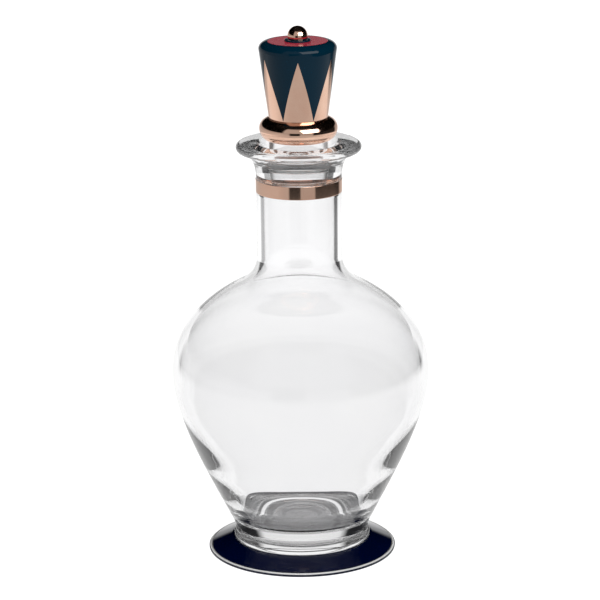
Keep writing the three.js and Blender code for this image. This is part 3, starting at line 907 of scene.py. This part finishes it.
@dataclass
class Stopper:
    """Glass plug, copper flange and drum, enamel crown, red disc and ball. Sizes in millimetres."""

    plug_radius: float = 14.2
    plug_taper: float = 1.1
    ground_length: float = 11.0
    ground_top: float = 9.0
    plug_tip: float = 2.0
    seal_section: float = 1.6
    seal_fit: float = 0.3
    seal_drop: float = 2.6
    spigot_radius: float = 9.5
    flange_equator: float = 5.8
    socket_radius: float = 11.1
    socket_depth: float = 5.0
    boss_radius: float = 11.1
    boss_height: float = 3.0
    drum_foot: float = 14.2
    drum_top: float = 18.75
    drum_bore: float = 11.4
    crown_round: float = 3.5
    enamel: float = 0.8
    enamel_fit: float = 0.05
    enamel_band: float = 7.3
    tip_rise: float = 0.5
    points: int = 6
    disc_radius: float = 14.4
    disc_thickness: float = 1.5
    disc_fit: float = 0.05
    plate: float = 2.5
    stud_hole: float = 2.3
    collar_height: float = 0.8
    film: float = 0.02
    ball_rise: float = 1.55
    ball_radius: float = 4.85
    ball_socket: float = 3.2
    stud_pocket: float = 1.5
    plug_gap: float = 0.05
    # Lengths that the corners' roundings take
    groove_round: float = 0.15
    stem_round: float = 1.0
    edge_round: float = 0.3
    socket_round: float = 0.2
    disc_round: float = 0.25
    # Columns of one sector and rows along its sides, and steps along and round the turned pieces
    columns: int = 48
    side_rows: int = 16
    round_rows: int = 10
    flange_steps: int = 20
    seal_steps: int = 20
    ball_rows: int = 32
    ball_steps: int = 96

    def __post_init__(self) -> None:
        """Takes the heights from the solids."""
        self.flange_z = low("stopper_flange")
        self.drum_z = low("stopper_drum")
        self.top_z = high("enamel_crown")
        self.crown_z = self.top_z - self.crown_round

    def plug(self) -> Outline:
        """Half-section of the glass plug, with the seal's groove."""
        ground = self.flange_z - self.ground_top
        end = ground - self.ground_length
        seal = ground - self.seal_drop
        half = self.seal_section / 2 + self.seal_fit
        narrow = self.plug_radius - self.plug_taper
        floor = self._taper(seal) - self.seal_section - self.seal_fit
        stem = self.flange_z - self.plug_gap
        top = self.flange_z + self.socket_depth - self.seal_fit
        outline = Outline().to(0, end - self.plug_tip).to(narrow - self.plug_tip, end - self.plug_tip)
        outline.quarter(narrow, end, Leave.LEVEL)
        for height, radius in ((seal - half, self._taper(seal - half)), (seal - half, floor),
                               (seal + half, floor), (seal + half, self._taper(seal + half))):
            outline.to(radius, height, self.groove_round)
        return (outline.to(self.plug_radius, ground, self.stem_round)
                .to(self.plug_radius, stem, self.edge_round).to(self.spigot_radius, stem)
                .to(self.spigot_radius, top, self.edge_round).to(0, top))

    def _taper(self, height: float) -> float:
        """Radius of the ground taper at a height."""
        ground = self.flange_z - self.ground_top
        return self.plug_radius - self.plug_taper * (ground - height) / self.ground_length

    def seal(self) -> Outline:
        """Half-section of the soft ring, as a circle of small steps."""
        middle = (low("seal_ring") + high("seal_ring")) / 2
        tube = self.seal_section / 2
        ring = reach("seal_ring") - tube
        outline = Outline()
        for i in range(self.seal_steps):
            angle = math.tau * i / self.seal_steps
            outline.to(ring + tube * math.cos(angle), middle + tube * math.sin(angle))
        return outline

    def flange(self) -> Outline:
        """Half-section of the copper flange with its socket and boss."""
        under, top = self.flange_z, self.drum_z
        socket = under + self.socket_depth
        radius = reach("stopper_flange")
        pocket = socket + self.stud_pocket
        boss = top + self.boss_height
        outline = Outline().to(0, socket).to(self.socket_radius, socket)
        outline.to(self.socket_radius, under, self.socket_round).to(self.plug_radius, under)
        outline.quarter(radius, under + self.flange_equator, Leave.LEVEL, self.flange_steps)
        outline.quarter(self.drum_foot, top, Leave.UPRIGHT, self.flange_steps)
        return (outline.to(self.boss_radius, top).to(self.boss_radius, boss, self.edge_round)
                .to(self.stud_hole, boss).to(self.stud_hole, pocket).to(0, pocket))

    def side(self, height: float) -> float:
        """Radius of the drum's side at a height."""
        share = (height - self.drum_z) / (self.crown_z - self.drum_z)
        return self.drum_foot + (self.drum_top - self.drum_foot) * share

    def border(self, share: float) -> float:
        """Height of the line between copper and enamel.

        Args:
            share: Place across a sector, from one dark tip (0) over the copper point (0.5) to the next (1).

        Returns:
            Height in millimetres.
        """
        tip = self.drum_z + self.tip_rise
        point = self.top_z - self.enamel_band
        rise = 1 - abs(2 * share - 1)
        return tip + (point - tip) * rise

    def crown_arc(self, inset: float) -> list[Point]:
        """Points of the rounded crown from the drum's side to the red disc, moved in by an inset.

        Args:
            inset: How far inside the surface.

        Returns:
            Points of radius and height.
        """
        arc = Outline().to(self.drum_top - inset, self.crown_z)
        arc.quarter(self.disc_radius + self.disc_fit, self.top_z - inset, Leave.UPRIGHT, self.round_rows)
        return arc.points

    def sector(self, name: str, rows_at: Callable[[float], list[Point]]) -> bpy.types.Mesh:
        """Makes one sector as a closed loop of rows at each column.

        Args:
            name: Name of the mesh.
            rows_at: Gives the loop of (radius, height) points at a place across the sector.

        Returns:
            The sector's mesh, in metres.
        """
        width = math.tau / self.points
        spots: list[tuple[float, float, float]] = []
        for column in range(self.columns + 1):
            share = column / self.columns
            angle = width * (share - 0.5) - math.pi / 2
            spots += [(r * MM * math.cos(angle), r * MM * math.sin(angle), z * MM) for r, z in rows_at(share)]
        count = len(spots) // (self.columns + 1)
        faces = []
        for column in range(self.columns):
            for row in range(count):
                a, b = column * count + row, column * count + (row + 1) % count
                faces.append((a, a + count, b + count, b))
        mesh = bpy.data.meshes.new(name)
        mesh.from_pydata(spots, [], faces)
        return mesh

    def crown_loop(self, share: float) -> list[Point]:
        """Loop of the enamel shell at a place across the sector.

        Args:
            share: Place across the sector.

        Returns:
            Points of radius and height.
        """
        foot = self.border(share) + self.enamel_fit
        heights = [foot + (self.crown_z - foot) * i / self.side_rows for i in range(self.side_rows)]
        outer = [(self.side(z), z) for z in heights] + self.crown_arc(0.0)
        inner = [(self.side(z) - self.enamel, z) for z in heights] + self.crown_arc(self.enamel)
        return outer + inner[::-1]

    def drum_loop(self, share: float) -> list[Point]:
        """Loop of the copper drum at a place across the sector: side, enamel's pocket, recess and bore.

        Args:
            share: Place across the sector.

        Returns:
            Points of radius and height.
        """
        border = self.border(share)
        floor = self.enamel + self.enamel_fit
        recess = self.top_z - self.disc_thickness
        side = [self.drum_z + (border - self.drum_z) * i / self.side_rows for i in range(self.side_rows + 1)]
        pocket = [border + (self.crown_z - border) * i / self.side_rows for i in range(self.side_rows)]
        rows = [(self.side(z), z) for z in side]
        rows += [(self.side(z) - floor, z) for z in pocket] + self.crown_arc(floor)
        rows += [(self.disc_radius + self.disc_fit, recess), (self.stud_hole, recess),
                 (self.stud_hole, recess - self.plate), (self.drum_bore, recess - self.plate),
                 (self.drum_bore, self.drum_z)]
        return rows

    def disc(self) -> Outline:
        """Half-section of the red disc."""
        under = self.top_z - self.disc_thickness + self.disc_fit
        return (Outline().to(self.stud_hole, under).to(self.disc_radius, under)
                .to(self.disc_radius, self.top_z, self.disc_round).to(self.stud_hole, self.top_z))

    def collar(self) -> Outline:
        """Half-section of the dark collar."""
        under, top = self.top_z + self.film, self.top_z + self.collar_height - self.film
        edge = self.collar_height / 2
        radius = reach("finial_collar")
        outline = Outline().to(self.stud_hole, under).to(radius, under).to(radius, top - edge)
        return outline.quarter(radius - edge, top, Leave.UPRIGHT).to(self.stud_hole, top)

    def ball(self) -> Outline:
        """Half-section of the ball, flat below, with its stud hole."""
        cut = self.top_z + self.collar_height
        centre = cut + self.ball_rise
        start = math.asin(-self.ball_rise / self.ball_radius)
        outline = Outline().to(0, cut + self.ball_socket).to(self.stud_hole, cut + self.ball_socket)
        outline.to(self.stud_hole, cut)
        for i in range(self.ball_rows + 1):
            angle = start + (math.pi / 2 - start) * i / self.ball_rows
            radius = max(self.ball_radius * math.cos(angle), 0.0)
            outline.to(radius, centre + self.ball_radius * math.sin(angle))
        return outline

    def build(self, shaper: NodeShaper) -> None:
        """Makes the stopper's pieces.

        Args:
            shaper: Trees that turn and repeat.
        """
        copper, enamel = dressed(COPPER), dressed(DARK_ENAMEL)
        settle(shaper.turn("plug_glass", self.plug(), dressed(CRYSTAL)), Body.STOPPER, "clear_glass",
               "stopper_plug")
        settle(shaper.turn("soft_seal", self.seal(), dressed(SILICONE), closed=True), Body.SEAL, "silicone",
               "seal_ring")
        settle(shaper.turn("copper_flange", self.flange(), copper), Body.STOPPER, "copper_plate",
               "stopper_flange")
        settle(shaper.repeat("copper_drum", self.sector("drum_sector", self.drum_loop), self.points, copper),
               Body.STOPPER, "copper_plate", "stopper_drum")
        settle(shaper.repeat("dark_crown", self.sector("crown_sector", self.crown_loop), self.points, enamel),
               Body.STOPPER, "dark_enamel", "enamel_crown")
        settle(shaper.turn("red_disc", self.disc(), dressed(RED_ENAMEL), closed=True), Body.STOPPER,
               "red_enamel", "top_disc")
        settle(shaper.turn("dark_collar", self.collar(), enamel, closed=True), Body.STOPPER, "dark_enamel",
               "finial_collar")
        settle(shaper.turn("copper_ball", self.ball(), copper, steps=self.ball_steps), Body.STOPPER,
               "copper_plate", "finial_ball")


def dress_hidden_solids() -> None:
    """Gives the pieces inside the stopper their own finishes."""
    for node, finish in (("plug_cement", CEMENT), ("tie_stud", STEEL)):
        solid = frame["nodes"][node]
        solid.data.materials.clear()
        solid.data.materials.append(dressed(finish))
        LOG.info("%s keeps its solid", node)


@dataclass
class Studio:
    """Pale floor, white surround, soft lamps and the camera.

    Sizes are in metres, camera angles in degrees and levels are shares of white. Levels are given apart
    for what the pieces mirror and for what shows through the glass. A pair is where a change of level
    starts and ends: a distance on the floor (reach), the sine of a height (shade, top) or a turn (side).
    """

    floor_half: float = 3.0
    camera_back: float = 1.4
    camera_height: float = 0.5138
    camera_pitch: float = 15.48
    camera_roll: float = 0.53
    lens: float = 179.5
    sensor: float = 36.0
    # Stops round the carafe, in degrees from the front, with the levels in reflections, of the floor and of
    # the walls through glass, and of the walls' upper part in reflections.
    room: tuple[tuple[float, float, float, float, float], ...] = (
        (-180, 1.0, 1.08, 1.08, 0.0), (-162, 1.0, 1.08, 1.08, 0.0), (-154, 0.55, 1.08, 1.08, 0.0),
        (-146, 0.55, 1.08, 0.02, 0.0), (-138, 0.55, 0.4, 0.02, 0.0), (-60, 0.6, 0.5, 0.05, 0.0),
        (-50, 0.57, 0.5, 0.05, 0.0), (-42, 0.54, 0.5, 0.05, 0.6), (-28, 0.5, 0.5, 0.05, 0.6),
        (-24, 0.02, 0.1, 0.05, 0.6), (3, 0.02, 0.1, 0.05, 0.6), (5, 0.45, 0.3, 0.05, 0.6),
        (41, 0.45, 0.3, 0.05, 0.6), (45, 0.02, 0.1, 0.05, 0.6), (60, 0.02, 0.1, 0.05, 0.0),
        (128, 0.02, 0.1, 0.02, 0.0), (138, 0.55, 0.1, 0.02, 0.0), (146, 0.55, 1.08, 0.02, 0.0),
        (154, 0.55, 1.08, 1.08, 0.0), (162, 1.0, 1.08, 1.08, 0.0), (180, 1.0, 1.08, 1.08, 0.0))
    near_mirrored: float = 0.55
    side_mirrored: float = 0.95
    side_turn: tuple[float, float] = (-1.0, 0.4)
    near_through: float = 0.99
    mirrored_reach: tuple[float, float] = (0.69, 0.76)
    through_reach: tuple[float, float] = (0.35, 0.5)
    mirrored_shade: tuple[float, float] = (0.08, 0.2)
    through_shade: tuple[float, float] = (0.5, 0.75)
    mirrored_top: tuple[float, float] = (0.75, 0.9)
    mirrored_sky: float = 0.01
    through_sky: float = 0.15
    surround: float = 1.0
    aim_height: float = 0.14
    overhead_place: tuple[float, float, float] = (0.2, -0.7, 1.1)
    overhead_size: tuple[float, float] = (0.7, 0.3)
    overhead_watts: float = 9.0
    window_place: tuple[float, float, float] = (0.978, -1.252, 1.045)
    window_size: tuple[float, float] = (1.7, 1.2)
    window_watts: float = 28.0
    glass_bounces: int = 48
    floor_glow: float = 0.93
    floor_matt: float = 0.3

    def camera(self) -> None:
        """Places the camera at the photograph's viewing angle."""
        data = bpy.data.cameras.new("view")
        data.lens = self.lens
        data.sensor_width = self.sensor
        holder = bpy.data.objects.new("view", data)
        bpy.context.scene.collection.objects.link(holder)
        tilt = Matrix.Rotation(math.radians(90 - self.camera_pitch), 4, "X")
        roll = Matrix.Rotation(math.radians(-self.camera_roll), 4, "Z")
        holder.matrix_world = Matrix.Translation((0, -self.camera_back, self.camera_height)) @ tilt @ roll
        bpy.context.scene.camera = holder

    def room_levels(self, tree: bpy.types.NodeTree, way: bpy.types.NodeSocket) -> list[bpy.types.NodeSocket]:
        """Adds how bright the room is in a direction round the carafe: pale walls between dark screens.

        Args:
            tree: Tree to add to.
            way: Direction or place, seen from the carafe.

        Returns:
            Levels in reflections, of the floor and of the walls through glass, and of the walls' upper part
            in reflections.
        """
        split = add_node(tree, "ShaderNodeSeparateXYZ", inputs={0: way})
        front = add_node(tree, "ShaderNodeMath", {"operation": "MULTIPLY"}, {0: split.outputs["Y"], 1: -1.0})
        angle = add_node(tree, "ShaderNodeMath", {"operation": "ARCTAN2"},
                         {0: split.outputs["X"], 1: front.outputs[0]})
        share = add_node(tree, "ShaderNodeMapRange",
                         inputs={"Value": angle.outputs[0], "From Min": -math.pi, "From Max": math.pi})
        ramp = add_node(tree, "ShaderNodeValToRGB", inputs={0: share.outputs[0]})
        stops = ramp.color_ramp.elements
        while len(stops) < len(self.room):
            stops.new(0.5)
        for stop, (degrees, *levels) in zip(stops, self.room):
            stop.position = degrees / 360 + 0.5
            stop.color = levels
        split = add_node(tree, "ShaderNodeSeparateColor", inputs={0: ramp.outputs["Color"]})
        return [*split.outputs, ramp.outputs["Alpha"]]

    def fade(self, tree: bpy.types.NodeTree, value: bpy.types.NodeSocket, span: tuple[float, float],
             first: bpy.types.NodeSocket | float,
             second: bpy.types.NodeSocket | float) -> bpy.types.NodeSocket:
        """Adds a soft change from one level to another.

        Args:
            tree: Tree to add to.
            value: Height, distance or turn.
            span: Where the change starts and ends.
            first: Level before it.
            second: Level after it.

        Returns:
            The level.
        """
        made = add_node(tree, "ShaderNodeMapRange", {"interpolation_type": "SMOOTHSTEP"},
                        {"Value": value, "From Min": span[0], "From Max": span[1], "To Min": first,
                         "To Max": second})
        return made.outputs[0]

    def seen(self, tree: bpy.types.NodeTree, mirrored: bpy.types.NodeSocket, through: bpy.types.NodeSocket,
             plain: float) -> bpy.types.NodeSocket:
        """Adds the choice between the levels in reflections, through the glass and for all else.

        Args:
            tree: Tree to add to.
            mirrored: Level in reflections.
            through: Level through the glass.
            plain: Level for the camera and for light that falls on matt things.

        Returns:
            The level.
        """
        path = add_node(tree, "ShaderNodeLightPath")
        glossy = add_node(tree, "ShaderNodeMix", {"data_type": "FLOAT"},
                          {"Factor": path.outputs["Is Glossy Ray"], 2: plain, 3: mirrored})
        level = add_node(tree, "ShaderNodeMix", {"data_type": "FLOAT"},
                         {"Factor": path.outputs["Is Transmission Ray"], 2: glossy.outputs[0], 3: through})
        return level.outputs[0]

    def world(self) -> None:
        """Makes the surround: white for the camera, and a room with a dark ceiling for the carafe."""
        world = bpy.data.worlds.new("surround")
        bpy.context.scene.world = world
        world.use_nodes = True
        tree = world.node_tree
        tree.nodes.clear()
        way = add_node(tree, "ShaderNodeTexCoord").outputs["Generated"]
        height = add_node(tree, "ShaderNodeSeparateXYZ", inputs={0: way}).outputs["Z"]
        walls = self.room_levels(tree, way)
        upper = self.fade(tree, height, self.mirrored_top, walls[3], self.mirrored_sky)
        mirrored = self.fade(tree, height, self.mirrored_shade, walls[0], upper)
        through = self.fade(tree, height, self.through_shade, walls[2], self.through_sky)
        level = self.seen(tree, mirrored, through, self.surround)
        light = add_node(tree, "ShaderNodeBackground", inputs={"Strength": level})
        add_node(tree, "ShaderNodeOutputWorld", inputs={"Surface": light.outputs[0]})

    def floor(self) -> None:
        """Lays the pale floor, which keeps the carafe's shadow. The pieces see it at levels of their own."""
        half = self.floor_half
        corners = [(-half, -half, 0), (half, -half, 0), (half, half, 0), (-half, half, 0)]
        mesh = bpy.data.meshes.new("floor")
        mesh.from_pydata(corners, [], [(0, 1, 2, 3)])
        floor = bpy.data.objects.new("floor", mesh)
        bpy.context.scene.collection.objects.link(floor)
        material = bpy.data.materials.new("pale_floor")
        material.use_nodes = True
        tree = material.node_tree
        tree.nodes.clear()
        place = add_node(tree, "ShaderNodeTexCoord").outputs["Object"]
        length = add_node(tree, "ShaderNodeVectorMath", {"operation": "LENGTH"}, {0: place})
        distance = length.outputs["Value"]
        walls = self.room_levels(tree, place)
        split = add_node(tree, "ShaderNodeSeparateXYZ", inputs={0: place})
        back = add_node(tree, "ShaderNodeMath", {"operation": "DIVIDE"}, {0: split.outputs["Y"], 1: distance})
        near = self.fade(tree, back.outputs[0], self.side_turn, self.near_mirrored, self.side_mirrored)
        mirrored = self.fade(tree, distance, self.mirrored_reach, near, walls[0])
        through = self.fade(tree, distance, self.through_reach, self.near_through, walls[1])
        glow = add_node(tree, "ShaderNodeEmission",
                        inputs={"Strength": self.seen(tree, mirrored, through, self.floor_glow)})
        path = add_node(tree, "ShaderNodeLightPath")
        grey = add_node(tree, "ShaderNodeMix", {"data_type": "FLOAT"},
                        {"Factor": path.outputs["Is Glossy Ray"], 2: self.floor_matt, 3: 0.0})
        matt = add_node(tree, "ShaderNodeBsdfDiffuse", inputs={"Color": grey.outputs[0]})
        both = add_node(tree, "ShaderNodeAddShader", inputs={0: matt.outputs[0], 1: glow.outputs[0]})
        add_node(tree, "ShaderNodeOutputMaterial", inputs={"Surface": both.outputs[0]})
        mesh.materials.append(material)

    def lamp(self, name: str, place: tuple[float, float, float], size: tuple[float, float],
             watts: float) -> bpy.types.Object:
        """Hangs a soft box that looks at the carafe's middle.

        Args:
            name: Name of the lamp.
            place: Where it hangs.
            size: Its width and height.
            watts: Its power.

        Returns:
            The lamp, which shows in no reflection.
        """
        data = bpy.data.lights.new(name, "AREA")
        data.shape = "RECTANGLE"
        data.size, data.size_y = size
        data.energy = watts
        holder = bpy.data.objects.new(name, data)
        holder.visible_camera = holder.visible_glossy = holder.visible_transmission = False
        bpy.context.scene.collection.objects.link(holder)
        aim = Vector((0, 0, self.aim_height)) - Vector(place)
        holder.matrix_world = Matrix.Translation(place) @ aim.to_track_quat("-Z", "Y").to_matrix().to_4x4()
        return holder

    def window(self) -> None:
        """Hangs a strip window that only copper and enamel mirror, so that the glass stays clear."""
        lamp = self.lamp("strip_window", self.window_place, self.window_size, self.window_watts)
        lamp.visible_glossy = True
        lit = bpy.data.collections.new("mirrors_the_window")
        for piece in bpy.data.objects:
            if piece.type == "MESH" and {COPPER.name, DARK_ENAMEL.name} & set(piece.data.materials.keys()):
                lit.objects.link(piece)
        lamp.light_linking.receiver_collection = lit

    def build(self) -> None:
        """Sets up the view transform, camera, surround, floor and overhead lamp."""
        bpy.context.scene.view_settings.view_transform = "Standard"
        # Light stays long in thick glass, which turns black where its path is cut short.
        cycles = bpy.context.scene.cycles
        cycles.max_bounces = cycles.glossy_bounces = cycles.transmission_bounces = self.glass_bounces
        self.camera()
        self.world()
        self.floor()
        self.lamp("overhead_box", self.overhead_place, self.overhead_size, self.overhead_watts)


def main() -> None:
    """Builds the scene and reports each piece."""
    logging.basicConfig(level=logging.INFO, format="%(name)s: %(message)s")
    studio = Studio()
    studio.build()
    shaper = NodeShaper()
    for part in (Foot(), Vessel(), Stopper()):
        part.build(shaper)
    dress_hidden_solids()
    studio.window()


if __name__ == "__main__":
    main()
